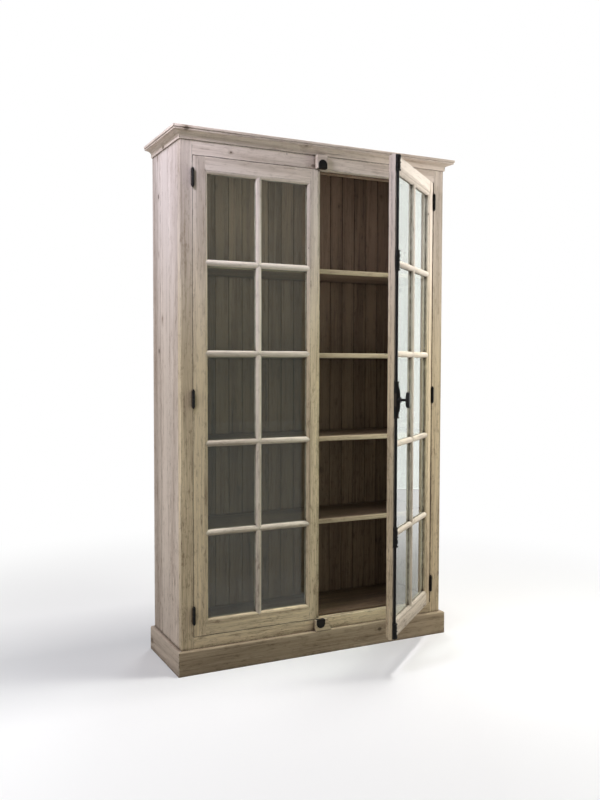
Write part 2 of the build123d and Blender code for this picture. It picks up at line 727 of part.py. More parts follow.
def rod_guide(length, dome):
    """A turned guide around the rod: collar, sleeve, bead and bulb, with a dome or a collar at its end."""
    neck_z = guide_collar_height + arris
    bead_z = (length - guide_bead_height) / 2
    sleeve_foot, sleeve_head = (guide_neck_radius, neck_z), (guide_neck_radius, bead_z)
    bulb_foot = (guide_neck_radius, bead_z + guide_bead_height)
    sleeve_belly = ((guide_neck_radius + guide_bulb_radius) / 2, (neck_z + bead_z) / 2)
    with BuildPart() as guide:
        with BuildSketch(Plane.XZ):
            with BuildLine():
                Polyline((0, length), (0, 0), (guide_collar_radius, 0), (guide_collar_radius, guide_collar_height),
                         sleeve_foot)
                Spline(sleeve_foot, sleeve_belly, sleeve_head, tangents=((0, 1), (0, 1)))
                ThreePointArc(sleeve_head, (guide_bulb_radius, length / 2), bulb_foot)
                if dome:
                    shoulder = (guide_bulb_radius, length - 2 * guide_collar_height)
                    Spline(bulb_foot, shoulder, (guide_dome_radius, length), tangents=((0, 1), (-1, 0.2)))
                    Line((guide_dome_radius, length), (0, length))
                else:
                    bulb_head = (guide_neck_radius, length - neck_z)
                    bulb_belly = (guide_bulb_radius, (bulb_foot[1] + bulb_head[1]) / 2)
                    Spline(bulb_foot, bulb_belly, bulb_head, tangents=((0, 1), (0, 1)))
                    Polyline(bulb_head, (guide_collar_radius, length - guide_collar_height),
                             (guide_collar_radius, length), (0, length))
            make_face()
        revolve(axis=Axis.Z)
        with Locations((0, 0, length / 2)):
            Cylinder(rod_radius + rod_play, 2 * length, mode=Mode.SUBTRACT)
        split(bisect_by=Plane.XZ.offset(-rod_stand_off), keep=Keep.TOP)
    return guide.part


end_guide = rod_guide(guide_length, True)
middle_guide = rod_guide(middle_guide_length, False)
upper_end = Location((bolt_x, -rod_stand_off, door_height - guide_end_inset - guide_length))
upper_middle = Location((bolt_x, -rod_stand_off, door_height - middle_guide_inset - middle_guide_length / 2))
with BuildPart() as rod_guides:
    for piece in (end_guide.moved(upper_end), middle_guide.moved(upper_middle)):
        add(piece)
        add(piece.rotate(bolt_axis, 180))
save(hang(rod_guides.part, "right"), "rod_guides")

with BuildPart() as bolt_spindle:
    with BuildSketch(bolt_plane(rack_near)):
        Rectangle(spindle_square, spindle_square)
    extrude(amount=spindle_end - rack_near)
    with BuildSketch(bolt_plane(-journal_length)):
        Circle(spindle_square / 2)
    extrude(amount=journal_length + rack_near)
save(hang(bolt_spindle.part, "right"), "bolt_spindle")

with BuildPart() as bolt_knob:
    with BuildSketch(bolt_plane(knob_stand_off)):
        Ellipse(knob_breadth / 2, knob_length / 2)
    extrude(amount=knob_thickness)
    fillet(bolt_knob.edges(), radius=0.4 * knob_thickness)
    with BuildSketch(bolt_plane(knob_stand_off + knob_thickness / 3)):
        Circle(spindle_radius + knob_flare)
    with BuildSketch(bolt_plane(knob_stand_off + knob_thickness / 3 - knob_flare_height)):
        Circle(spindle_radius)
    loft()
    with BuildSketch(bolt_plane(rack_front + rack_play)):
        Circle(spindle_radius)
    extrude(amount=knob_stand_off - rack_front)
    with BuildSketch(bolt_plane(rack_front)):
        Rectangle(spindle_square + 2 * spindle_play, spindle_square + 2 * spindle_play)
    extrude(amount=spindle_end + spindle_play - rack_front, mode=Mode.SUBTRACT)
save(hang(bolt_knob.part, "right"), "bolt_knob")

# Keepers for the rod ends: iron arches through wooden blocks on the frieze and on the plinth
slot_radius = rod_radius + keeper_play
rod_reach = rod_end + rod_travel + 2 * keeper_play
top_block_z = (opening_top, cornice_bottom)
bottom_block_z = (plinth_height, opening_bottom)


def keeper_arch(outwards, fit=0):
    """The arch of a keeper from the mouth of its slot, round at the far end, upwards or downwards."""
    mouth = opening_top if outwards > 0 else opening_bottom
    spring = keeper_height - keeper_width / 2
    with BuildSketch(Plane(origin=(keeper_x, front, mouth), x_dir=(1, 0, 0), z_dir=(0, -1, 0))) as arch:
        with Locations((0, outwards * spring / 2)):
            Rectangle(keeper_width + 2 * fit, spring)
        with Locations((0, outwards * spring)):
            Circle(keeper_width / 2 + fit)
        with Locations((0, outwards * keeper_height / 2)):
            Rectangle(2 * keeper_width, keeper_height + 2 * fit, mode=Mode.INTERSECT)
    return arch.sketch


with BuildPart() as top_keeper_block:
    block_x = (keeper_x - top_block_left, keeper_x + top_block_right)
    board(block_x, (front - top_block_depth, front), top_block_z)
    front_corners = top_keeper_block.edges().filter_by(Axis.Z).group_by(Axis.Y)[0]
    chamfer(front_corners, length=arris)
    extrude(keeper_arch(1, keeper_fit), amount=top_block_depth, mode=Mode.SUBTRACT)
save(top_keeper_block.part, "top_keeper_block")

with BuildPart() as bottom_keeper_block:
    with BuildSketch(Plane(origin=(keeper_x, front, 0), x_dir=(1, 0, 0), z_dir=(0, -1, 0))):
        Polygon((-bottom_block_left, bottom_block_z[0]), (bottom_block_right + bottom_block_slope, bottom_block_z[0]),
                (bottom_block_right, bottom_block_z[1]), (-bottom_block_left, bottom_block_z[1]), align=None)
    extrude(amount=plinth_thickness)
    extrude(keeper_arch(-1, keeper_fit), amount=plinth_thickness, mode=Mode.SUBTRACT)
save(bottom_keeper_block.part, "bottom_keeper_block")

keeper_places = {"top": (1, opening_top, top_block_depth), "bottom": (-1, opening_bottom, plinth_thickness)}
for place, (outwards, mouth, depth) in keeper_places.items():
    slot_depth = rod_reach - abs(mouth - door_bottom - door_middle)
    with BuildPart() as keeper:
        extrude(keeper_arch(outwards), amount=depth + keeper_proud)
        chamfer(keeper.faces().sort_by(Axis.Y)[0].edges(), length=keeper_proud / 2)
        with BuildSketch(Plane((keeper_x, front, mouth))):
            with Locations((0, -rod_stand_off)):
                Circle(slot_radius)
            with Locations((0, -rod_stand_off / 2)):
                Rectangle(2 * slot_radius, rod_stand_off)
        extrude(amount=outwards * slot_depth, mode=Mode.SUBTRACT)
    save(keeper.part, f"{place}_keeper")
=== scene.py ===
# %% [markdown]
# # Dressing a glazed display cabinet
# The cabinet is a tall case of old pine with two glazed doors, one of them ajar, and a long iron
# cremone bolt on the open leaf. The CAD model already has every board and bar at its true size,
# so this lesson is about what wood, glass and iron look like: grain that follows each board,
# dirt in the mouldings, old panes, and the nails and pins that hold the back and the beads.
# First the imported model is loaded. Its objects are never moved; they only get new materials.

# %% Load the cabinet
from math import cos, pi, radians, sin
import bpy
from mathutils import Matrix, Vector


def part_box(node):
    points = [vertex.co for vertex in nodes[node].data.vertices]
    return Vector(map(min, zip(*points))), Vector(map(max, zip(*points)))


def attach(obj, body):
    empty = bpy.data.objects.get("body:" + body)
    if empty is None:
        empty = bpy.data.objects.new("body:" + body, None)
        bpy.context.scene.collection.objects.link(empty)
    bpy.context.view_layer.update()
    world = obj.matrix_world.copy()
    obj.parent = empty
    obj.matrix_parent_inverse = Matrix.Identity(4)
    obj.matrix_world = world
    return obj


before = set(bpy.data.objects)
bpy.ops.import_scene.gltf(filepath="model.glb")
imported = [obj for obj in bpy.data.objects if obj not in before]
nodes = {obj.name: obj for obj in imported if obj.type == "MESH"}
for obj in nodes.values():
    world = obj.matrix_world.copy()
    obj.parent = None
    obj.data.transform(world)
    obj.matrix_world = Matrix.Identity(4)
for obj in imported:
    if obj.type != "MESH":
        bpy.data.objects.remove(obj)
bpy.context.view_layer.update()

# %% [markdown]
# ## Camera
# The photograph looks at the cabinet from the left of its middle, from a little over half its
# height. A camera could be placed by eye, but these numbers come from fitting the corners of the
# case, so straight edges fall where they do in the picture. A camera looks along its own -Z,
# with +Y up, so three directions at right angles make its matrix.

# %% Camera at the photograph's place
camera_place = Vector((-1.7833, -3.5614, 1.3301))
camera_yaw, camera_pitch, camera_roll = 0.4624, -0.0449, 0.0025
focal_length, sensor_width = 37.84, 36


def add_object(name, data):
    """A new object in the scene, at the origin."""
    thing = bpy.data.objects.new(name, data)
    bpy.context.scene.collection.objects.link(thing)
    return thing


ahead = Vector((sin(camera_yaw) * cos(camera_pitch), cos(camera_yaw) * cos(camera_pitch),
                sin(camera_pitch)))
aside = Vector((cos(camera_yaw), -sin(camera_yaw), 0))
upward = aside.cross(ahead)
rolled_aside = cos(camera_roll) * aside + sin(camera_roll) * upward
rolled_up = cos(camera_roll) * upward - sin(camera_roll) * aside
camera_turn = Matrix((rolled_aside, rolled_up, -ahead)).transposed()
camera_data = bpy.data.cameras.new("camera")
camera_data.lens, camera_data.sensor_width = focal_length, sensor_width
camera = add_object("camera", camera_data)
camera.matrix_world = Matrix.Translation(camera_place) @ camera_turn.to_4x4()
bpy.context.scene.camera = camera
print("camera looks along", [round(v, 3) for v in ahead])

# %% [markdown]
# ## Building node trees in code
# Every finish is a small network of nodes. A few helpers keep that readable: one turns a colour
# picked from a picture into the linear numbers that the renderer needs, one adds a node and
# feeds its inputs, and others stand for the nodes that are needed again and again.

# %% Colours and nodes


def paint(red, green, blue):
    """Linear colour from the 0 to 255 numbers of a picture."""
    levels = [v / 255 / 12.92 if v <= 10 else ((v / 255 + 0.055) / 1.055) ** 2.4
              for v in (red, green, blue)]
    return (*levels, 1)


def feed(tree, sockets, wires):
    """Give sockets, by name or number, their values or the wires from other nodes' outputs."""
    for key, value in wires.items():
        if isinstance(value, bpy.types.NodeSocket):
            tree.links.new(value, sockets[key])
        else:
            sockets[key].default_value = value


def put(tree, kind, wires=None, **settings):
    """Add a node with its settings, and feed its inputs."""
    node = tree.nodes.new(kind)
    for key, value in settings.items():
        setattr(node, key, value)
    feed(tree, node.inputs, wires or {})
    return node


print("a mid grey of 128 is", round(paint(128, 128, 128)[0], 3), "in linear light")

# %% Sums with numbers and with vectors


def maths(tree, operation, *values):
    return put(tree, "ShaderNodeMath", dict(enumerate(values)), operation=operation).outputs[0]


def times(tree, first, second):
    return maths(tree, "MULTIPLY", first, second)


def plus(tree, first, second):
    return maths(tree, "ADD", first, second)


def minus(tree, first, second):
    return maths(tree, "SUBTRACT", first, second)


def vector_maths(tree, operation, vector, other):
    """Maths with a vector; the factor of SCALE and the answer of DOT_PRODUCT are numbers."""
    wires = {0: vector, 3 if operation == "SCALE" else 1: other}
    answer = "Value" if operation == "DOT_PRODUCT" else "Vector"
    return put(tree, "ShaderNodeVectorMath", wires, operation=operation).outputs[answer]


# %% Steps, blends, stretched places and noise


def ease(tree, value, low, high, to_low=0.0, to_high=1.0):
    """A smooth step of value between low and high."""
    return put(tree, "ShaderNodeMapRange", {0: value, 1: low, 2: high, 3: to_low, 4: to_high},
               interpolation_type="SMOOTHSTEP").outputs[0]


def blend_colours(tree, amount, first, second):
    """From the first colour to the second as amount goes from 0 to 1."""
    return put(tree, "ShaderNodeMix", {0: amount, 6: first, 7: second},
               data_type="RGBA", blend_type="MIX").outputs[2]


def stretch(tree, place, scale):
    """A place times scale, so that a pattern read there is long where the scale is small."""
    return put(tree, "ShaderNodeMapping", {0: place, 3: scale}).outputs[0]


def noise(tree, place, scale=1.0, **more):
    return put(tree, "ShaderNodeTexNoise", {"Vector": place, "Scale": scale, **more}).outputs[0]


# %% [markdown]
# A node group is a network that several materials share, each with its own values. Its sockets
# have names and kinds: v is a vector, c a colour, f a number.

# %% Starting a node group


def start_group(name, inputs, outputs):
    """A group's tree, what it is given, and what it makes."""
    tree = bpy.data.node_groups.new(name, "ShaderNodeTree")
    kinds = {"v": "NodeSocketVector", "c": "NodeSocketColor", "f": "NodeSocketFloat"}
    for label, kind, value in inputs:
        socket = tree.interface.new_socket(label, in_out="INPUT", socket_type=kinds[kind])
        if value is not None:
            socket.default_value = value
    for label, kind in outputs:
        tree.interface.new_socket(label, in_out="OUTPUT", socket_type=kinds[kind])
    return tree, tree.nodes.new("NodeGroupInput").outputs, tree.nodes.new("NodeGroupOutput").inputs


# %% [markdown]
# ## Old pine
# Pine has dark, narrow late-wood lines in paler early wood. On a board cut beside the heart they
# run straight, and where a branch grew they flow round a dark knot. Planed and limed long ago,
# the wood of this cabinet has gone a greyish beige, with brown streaks, worm holes and filled
# nail holes. A picture of pine would repeat from board to board, so the grain is made of noise
# instead, drawn out along the board. The group works in the board's own directions: X across it,
# Y into it, Z along the grain. A node that turns or shifts the object's coordinates before they
# reach the group is all that a new board needs, so no two boards look alike. Where a sub-part is
# a row of boards, the group counts them by their width, and gives each its own luck.

# %% Shader group: weathered pine
one_board, one_board_start = 10.0, -5.0     # wider than any sub-part, which is then one board
luck_shift = (7.0, 3.0, 19.0)               # how far luck moves a board's pattern, in metres
pine, given, made = start_group("weathered pine", [
    ("Place", "v", None), ("Board width", "f", one_board), ("Board start", "f", one_board_start),
    ("Pale", "c", None), ("Brown", "c", None), ("Knots", "f", 1.0), ("Streaks", "f", 1.0),
    ("Unevenness", "f", 0.8)],
    [("Colour", "c"), ("Roughness", "f"), ("Height", "f")])
across_board = put(pine, "ShaderNodeSeparateXYZ", {0: given["Place"]}).outputs[0]
from_start = minus(pine, across_board, given["Board start"])
board_number = maths(pine, "FLOOR", maths(pine, "DIVIDE", from_start, given["Board width"]))
board_luck = put(pine, "ShaderNodeTexWhiteNoise", {"W": board_number},
                 noise_dimensions="1D").outputs
board_shift = vector_maths(pine, "MULTIPLY", board_luck["Color"], luck_shift)
board_place = vector_maths(pine, "ADD", given["Place"], board_shift)
print("weathered pine is given", ", ".join(socket.name for socket in given if socket.name))

# %% Round spots: the heart of a knot, a worm hole
knot_cells, knot_rarity = (9.0, 9.0, 7.0), 0.62     # cells to a metre; the share without a knot
knot_least, knot_more = 0.028, 0.055                # radius in cells, and what luck adds to it
grain_parting = (-0.085, -0.085, 0.0)               # how far the grain bends round a knot


def scatter_cells(scale):
    """Places in cells, the cells with their distance from a random point, and their luck."""
    in_cells = stretch(pine, board_place, scale)
    cells = put(pine, "ShaderNodeTexVoronoi", {"Vector": in_cells, "Scale": 1.0}).outputs
    return in_cells, cells, put(pine, "ShaderNodeSeparateColor", {0: cells["Color"]}).outputs


print("knot hearts are", round(1000 * knot_least / knot_cells[0]), "to",
      round(1000 * (knot_least + knot_more) / knot_cells[0]), "mm in radius")

# %% Knots, with the grain parted round them
in_cells, cells, knot_luck = scatter_cells(knot_cells)
knot_is = times(pine, maths(pine, "GREATER_THAN", knot_luck[0], knot_rarity), given["Knots"])
knot_size = maths(pine, "MULTIPLY_ADD", knot_luck[1], knot_more, knot_least)
knot_range = maths(pine, "DIVIDE", cells["Distance"], knot_size)
knot_heart = times(pine, ease(pine, knot_range, 1.2, 0.7), knot_is)
ring = times(pine, ease(pine, knot_range, 0.75, 1.05), ease(pine, knot_range, 1.7, 1.1))
knot_ring = times(pine, ring, knot_is)
knot_halo = times(pine, ease(pine, knot_range, 4.5, 0.6), knot_is)
from_heart = vector_maths(pine, "SUBTRACT", in_cells, cells["Position"])
parting = vector_maths(pine, "MULTIPLY", from_heart, grain_parting)
parting = vector_maths(pine, "SCALE", parting, knot_halo)
bent = vector_maths(pine, "ADD", board_place, parting)
print("boards and knots:", len(pine.nodes), "nodes")

# %% Grain: noise drawn out along the board, at three widths, and the marks of weather


def drawn(scale, **extra):
    """Noise stretched along the grain; scale is per metre across, into and along the board."""
    return noise(pine, stretch(pine, bent, scale), **extra)


fibres = drawn((520, 520, 11), Detail=3.0, Roughness=0.62)
lines = drawn((120, 90, 2.2), Detail=4.0, Roughness=0.62, Distortion=0.7)
broad = drawn((24, 20, 0.8), Detail=4.0, Roughness=0.62, Distortion=0.6)
checks = drawn((170, 170, 7), Detail=4.0, Roughness=0.74)
mottle = drawn((60, 60, 22), Detail=7.0, Roughness=0.76)
patches = drawn((11, 11, 4), Detail=4.0, Roughness=0.65)
drift = drawn((3.1, 3.1, 0.9), Detail=2.0)
quiet_patches = ease(pine, patches, 0.62, 0.40, 0.05, 1.0)
dry_patches = ease(pine, patches, 0.46, 0.60, 0.10, 1.0)
latewood = times(pine, ease(pine, lines, 0.50, 0.64), quiet_patches)
open_grain = ease(pine, fibres, 0.46, 0.66)
check = times(pine, ease(pine, checks, 0.60, 0.68), dry_patches)
print("with the grain:", len(pine.nodes), "nodes")

# %% Small holes: worm holes, dents and the dots of filled nails
hole_cells, hole_rarity = (23, 23, 17), 0.72
hole_least, hole_more = 0.018, 0.035
in_cells, cells, hole_luck = scatter_cells(hole_cells)
hole_size = maths(pine, "MULTIPLY_ADD", hole_luck[1], hole_more, hole_least)
hole_range = maths(pine, "DIVIDE", cells["Distance"], hole_size)
hole = times(pine, ease(pine, hole_range, 1.25, 0.75),
             maths(pine, "GREATER_THAN", hole_luck[2], hole_rarity))
print("holes are", round(1000 * hole_least / hole_cells[0], 1), "to",
      round(1000 * (hole_least + hole_more) / hole_cells[0], 1), "mm in radius")

# %% Colours of the pine
streaks = plus(pine, times(pine, latewood, 0.42), times(pine, open_grain, 0.30))
streaks = plus(pine, streaks, times(pine, ease(pine, mottle, 0.50, 0.68), 0.40))
clouds = times(pine, minus(pine, ease(pine, broad, 0.34, 0.68), 0.40), given["Unevenness"])
brownness = plus(pine, times(pine, streaks, given["Streaks"]), times(pine, clouds, 0.60))
brownness = plus(pine, brownness, times(pine, knot_halo, 0.30))
board_tone = maths(pine, "MULTIPLY_ADD", board_luck["Value"], 0.30, -0.12)
brownness = put(pine, "ShaderNodeClamp", {0: plus(pine, brownness, board_tone)}).outputs[0]
wood = blend_colours(pine, brownness, given["Pale"], given["Brown"])
lightness = maths(pine, "MULTIPLY_ADD", ease(pine, drift, 0.3, 0.7), 0.20, 0.90)
wood = vector_maths(pine, "SCALE", wood, lightness)
dark = vector_maths(pine, "SCALE", given["Brown"], 0.30)
for mark, strength in ((knot_heart, 0.70), (knot_ring, 0.75), (check, 0.45), (hole, 0.85)):
    wood = blend_colours(pine, times(pine, mark, strength), wood, dark)
print("with its colours:", len(pine.nodes), "nodes")

# %% Relief of the pine: soft fibres have shrunk, checks and holes are open
relief = minus(pine, times(pine, fibres, 0.5), times(pine, open_grain, 0.35))
relief = minus(pine, plus(pine, relief, times(pine, latewood, 0.35)), hole)
cracks = times(pine, maths(pine, "MAXIMUM", check, knot_ring), 0.6)
feed(pine, made, {
    "Colour": wood, "Roughness": maths(pine, "MULTIPLY_ADD", fibres, 0.25, 0.52),
    "Height": minus(pine, relief, cracks)})
print("weathered pine:", len(pine.nodes), "nodes")

# %% [markdown]
# ## Dirt and painted shade in the corners, and rubbed edges
# A century of polish and dust collects where a cloth doesn't reach: along the glazing bars, under
# the cornice and in the joints, where shade also falls. The darkening there is dirt and painted
# shade together. It could be painted on by hand, with a mask for each sub-part, but Ambient
# Occlusion finds the same places by itself: it tells how enclosed a point is. Its answer goes into
# a group that breaks the darkening up with noise. A second reading, taken inside the solid, finds
# outer edges, where the finish is rubbed paler, and here and there bruised down to the brown wood.

# %% Shader group: dirt, painted shade and rubbed edges
wear, given, made = start_group("grime, painted shade and rubbed edges", [
    ("Colour", "c", None), ("Place", "v", None), ("Openness", "f", 1.0),
    ("Edge openness", "f", 1.0), ("Grime and shade colour", "c", paint(66, 50, 36)), ("Grime and shade amount", "f", 0.8),
    ("Rubbed", "c", paint(222, 210, 192)), ("Rubbing", "f", 0.5), ("Bruises", "f", 0.5)],
    [("Colour", "c")])
cloud = noise(wear, given["Place"], 34.0, Detail=4.0, Roughness=0.65)
enclosed = minus(wear, 1.0, given["Openness"])
broken_up = plus(wear, enclosed, maths(wear, "MULTIPLY_ADD", cloud, 0.5, -0.25))
# painted shade: the colour darkens where Ambient Occlusion finds the point enclosed, for dirt and
# shade together
grime_and_shade_mask = times(wear, ease(wear, broken_up, 0.14, 0.66), given["Grime and shade amount"])
outer_edge = minus(wear, 1.0, given["Edge openness"])
rub_mask = ease(wear, minus(wear, outer_edge, times(wear, cloud, 0.5)), 0.12, 0.42)
rub_mask = times(wear, rub_mask, given["Rubbing"])
rubbed = blend_colours(wear, rub_mask, given["Colour"], given["Rubbed"])
dents = noise(wear, stretch(wear, given["Place"], (60, 60, 13)), Detail=4.0, Roughness=0.7)
bruise = times(wear, ease(wear, outer_edge, 0.08, 0.28), ease(wear, dents, 0.50, 0.60))
bruise = times(wear, bruise, given["Bruises"])
rubbed = blend_colours(wear, bruise, rubbed, given["Grime and shade colour"])
feed(wear, made, {"Colour": blend_colours(wear, grime_and_shade_mask, rubbed, given["Grime and shade colour"])})
print("grime, painted shade and rubbed edges:", len(wear.nodes), "nodes")

# %% [markdown]
# ## A material for each way the grain runs
# Grain could follow a UV map, but CAD meshes come without, so object coordinates are turned
# instead. One function makes a wood material from the two groups. It is told the way the grain
# runs and how far the piece is turned about the vertical, as the open door is. Each material has
# a number, and a shift that comes from it, so that neighbours don't share a pattern. The
# cabinet's joints follow from that: grain runs up the stiles and along the rails, so a shoulder
# shows by itself. Light that falls from above is painted into the colour: high up the wood is
# paler and cooler, and towards the foot yellower and, on the sides and inside, darker. The brown
# streaks also grow stronger towards the foot.

# %% Ways of the grain, and finishes
door_turn = radians(40.5)                   # the right door stands ajar by this much
grain_ways = {
    "up": Matrix.Identity(3),
    "side": Matrix.Rotation(-pi / 2, 3, "Z"),       # also up, on boards side by side in depth
    "across": Matrix.Rotation(-pi / 2, 3, "Y"),
    "inwards": Matrix.Rotation(pi / 2, 3, "X")}
# pale is the colour high up, low the colour towards the foot: the change between them is painted
# light that falls from above
finishes = {
    "limed": dict(pale=paint(223, 209, 197), low=paint(226, 208, 174),
                  brown=paint(132, 111, 89), grime_and_shade=0.95, rub=0.5, knots=1.0, streaks=1.0),
    # bar: paler than limed, painted light for the light that falls on the bars and on the open
    # door from the right; it also has fewer knots and streaks
    "bar": dict(pale=paint(230, 218, 207), low=paint(232, 220, 202),
                brown=paint(128, 108, 90), grime_and_shade=1.0, rub=0.6, knots=0.5, streaks=0.9),
    "flank": dict(pale=paint(228, 215, 207), low=paint(216, 201, 186),
                  brown=paint(142, 122, 106), grime_and_shade=0.9, rub=0.4, knots=1.0, streaks=1.1),
    # plinth: the front is painted darker than its ends, partly dirt and partly painted shade from
    # the open door
    "plinth": dict(pale=paint(184, 166, 139), low=paint(184, 166, 139),
                   brown=paint(112, 94, 72), grime_and_shade=0.9, rub=0.5, knots=1.0, streaks=0.7),
    "plinth_end": dict(pale=paint(200, 184, 167), low=paint(200, 184, 167),
                       brown=paint(130, 110, 92), grime_and_shade=0.9, rub=0.5, knots=1.0, streaks=0.7),
    # inside: its low colour is much darker, painted shade in the lower compartments that the light
    # from above reaches less
    "inside": dict(pale=paint(160, 134, 116), low=paint(114, 94, 74),
                   brown=paint(64, 44, 35), grime_and_shade=1.0, rub=0.1, knots=0.4, streaks=1.0)}
print(len(finishes), "wood finishes")

# %% Helpers for materials


def new_material(name):
    """A material, its node tree and its Principled shader."""
    material = bpy.data.materials.new(name)
    material.use_nodes = True
    return material, material.node_tree, material.node_tree.nodes["Principled BSDF"]


def object_place(tree):
    return put(tree, "ShaderNodeTexCoord").outputs["Object"]


def openness(tree, reach, inside=False):
    """How open a point is within reach; read inside the solid, it is low at outer edges."""
    return put(tree, "ShaderNodeAmbientOcclusion", {"Distance": reach}, samples=6,
               inside=inside, only_local=inside).outputs["AO"]


def bump(tree, height, strength, depth):
    """The normal of a surface that stands up by depth where height is 1."""
    wires = {"Strength": strength, "Distance": depth, "Height": height}
    return put(tree, "ShaderNodeBump", wires).outputs[0]


# %% What the pine group is told about a finish
foot, middle, head = 0.2, 1.2, 2.1          # heights between which the painted light and the streaks change
nose_depth = 0.004                          # over which a shelf's outer finish ends


def finish_values(tree, coordinates, look, outer_front):
    """Colours, streaks and knots. In front of outer_front the colours are the plinth's."""
    spot = put(tree, "ShaderNodeSeparateXYZ", {0: coordinates}).outputs
    # painted light: from head down to middle the colour goes to the low one, which stands for the
    # light falling off from above
    pale = blend_colours(tree, ease(tree, spot[2], middle, head), look["low"], look["pale"])
    brown = look["brown"]
    if outer_front is not None:
        behind = ease(tree, spot[1], outer_front, outer_front + nose_depth)
        pale = blend_colours(tree, behind, finishes["plinth"]["pale"], pale)
        brown = blend_colours(tree, behind, finishes["plinth"]["brown"], brown)
    streaks = ease(tree, spot[2], foot, head, 1.35 * look["streaks"], 0.65 * look["streaks"])
    return {"Pale": pale, "Brown": brown, "Streaks": streaks, "Knots": look["knots"]}


# %% A wood material
corner_reach, arris_reach = 0.02, 0.004     # how far the dirt with painted shade, and the rubbed edges, look for wood
shift_steps = ((1.37, 5), (2.11, 5), (3.7, 11))     # metres a number, and where they start over
wood_materials = []


def wood_material(finish, grain, turned=0.0, width=one_board, start=one_board_start,
                  outer_front=None):
    """Pine of a finish with its grain one of four ways, on a piece turned about the vertical or
    on a row of boards; outer_front, in metres, is where a shelf's outer finish ends."""
    look, number = finishes[finish], len(wood_materials) + 1
    material, tree, shader = new_material(f"{finish}_pine_{grain}_{number:02d}")
    coordinates = object_place(tree)
    in_row = width < one_board
    shift = [0 if in_row else number * step % span for step, span in shift_steps]
    turn = (grain_ways[grain] @ Matrix.Rotation(-turned, 3, "Z")).to_euler()
    place = put(tree, "ShaderNodeMapping", {0: coordinates, 1: shift, 2: turn}).outputs[0]
    boards = put(tree, "ShaderNodeGroup", {
        "Place": place, "Board width": width, "Board start": start,
        **finish_values(tree, coordinates, look, outer_front)}, node_tree=pine).outputs
    # painted shade with the dirt: the colour darkens where the wood is enclosed within
    # corner_reach
    worn = put(tree, "ShaderNodeGroup", {
        "Colour": boards["Colour"], "Place": place, "Openness": openness(tree, corner_reach),
        "Edge openness": openness(tree, arris_reach, inside=True),
        "Grime and shade amount": look["grime_and_shade"], "Rubbing": look["rub"]}, node_tree=wear).outputs
    feed(tree, shader.inputs, {
        "Base Color": worn["Colour"], "Roughness": boards["Roughness"],
        "Specular IOR Level": 0.28,
        "Normal": bump(tree, boards["Height"], strength=0.5, depth=0.0009)})
    wood_materials.append(material)
    return material


# %% Wood on the doors, the sides and their mouldings
side_board_width, side_start = 0.11834, -0.160


def dress(material, *names):
    """Put a material on every slot of the named sub-parts."""
    for name in names:
        for slot in nodes[name].material_slots:
            slot.material = material


# The open door's rails get the paler bar finish, painted light for the light from the right on
# that door; the shut door's rails are limed.
for side, turned, rail_finish_lighter_on_right in (("left", 0.0, "limed"), ("right", door_turn, "bar")):
    for piece in ("hinge_stile", "meeting_stile"):
        dress(wood_material("limed", "up", turned), f"{side}_door_{piece}")
    for piece in ("top_rail", "bottom_rail"):
        dress(wood_material(rail_finish_lighter_on_right, "across", turned), f"{side}_door_{piece}")
    dress(wood_material("bar", "up", turned), f"{side}_door_upright_bar", f"{side}_door_beads")
    dress(wood_material("bar", "across", turned), f"{side}_door_cross_bars")
    dress(wood_material("limed", "up"), f"{side}_face_stile")
    dress(wood_material("flank", "side", width=side_board_width, start=side_start),
          f"{side}_side")
    dress(wood_material("limed", "inwards"), f"{side}_cornice")
    dress(wood_material("plinth_end", "inwards"), f"{side}_plinth")
print(len(wood_materials), "wood materials so far")

# %% Wood on the front, the boards and the back
shelves = ["shelf_1", "shelf_2", "shelf_3", "shelf_4"]
back_start, back_board_width, back_board_count = -0.6485, 0.06826, 19
for name in ("frieze_rail", "bottom_rail", "cornice_front", "top_keeper_block",
             "bottom_keeper_block"):
    dress(wood_material("limed", "across"), name)
# the plinth front's darker colours are partly dirt and partly painted shade
dress(wood_material("plinth", "across"), "plinth_front")
for name in ("bottom_board", "top_board", "door_stop", "back_batten_lower",
             "back_batten_middle", "back_batten_upper"):
    dress(wood_material("inside", "across"), name)
for name in shelves:
    shelf_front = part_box(name)[0].y
    dress(wood_material("inside", "across", outer_front=shelf_front + nose_depth), name)
dress(wood_material("inside", "inwards"), "centre_bearer")
dress(wood_material("inside", "up", width=back_board_width, start=back_start), "back_boards")
print(len(wood_materials), "wood materials")

# %% [markdown]
# ## Old window glass
# The panes are thin and faintly green, and they wave a little, because such glass was drawn or
# blown. A Transparent shader would be quick, but it mirrors nothing. A Principled shader with
# full transmission bends and mirrors light as glass does. Light from lamps would not pass through
# it, so a Transparent shader takes over for shadow rays alone.

# %% Glass
panes_across, panes_down = 2, 5
glazed = ("left_door_panes", "right_door_panes")
glass, tree, pane = new_material("drawn_glass")
waves = noise(tree, stretch(tree, object_place(tree), (5, 5, 2.2)), Detail=1.0)
feed(tree, pane.inputs, {
    "Base Color": paint(228, 235, 228), "Roughness": 0.0, "IOR": 1.45,
    "Transmission Weight": 1.0, "Normal": bump(tree, waves, strength=0.04, depth=0.0015)})
clear = put(tree, "ShaderNodeBsdfTransparent", {0: paint(216, 224, 217)})
shadow_ray = put(tree, "ShaderNodeLightPath").outputs["Is Shadow Ray"]
pass_light = put(tree, "ShaderNodeMixShader", {0: shadow_ray, 1: pane.outputs[0],
                                               2: clear.outputs[0]})
feed(tree, tree.nodes["Material Output"].inputs, {0: pass_light.outputs[0]})
dress(glass, *glazed)
print("glass on", len(glazed) * panes_across * panes_down, "panes")

# %% [markdown]
# ## Blackened iron
# The bolt, its guides, the keepers and the hinges are cast and wrought iron with an old black
# coat. Bare metal would need a metallic shader, but here the coat is what shows: uneven black,
# rubbed to a dull brown at the edges, over a skin that is rougher on the castings than on the
# rods, the pins and the hinges.

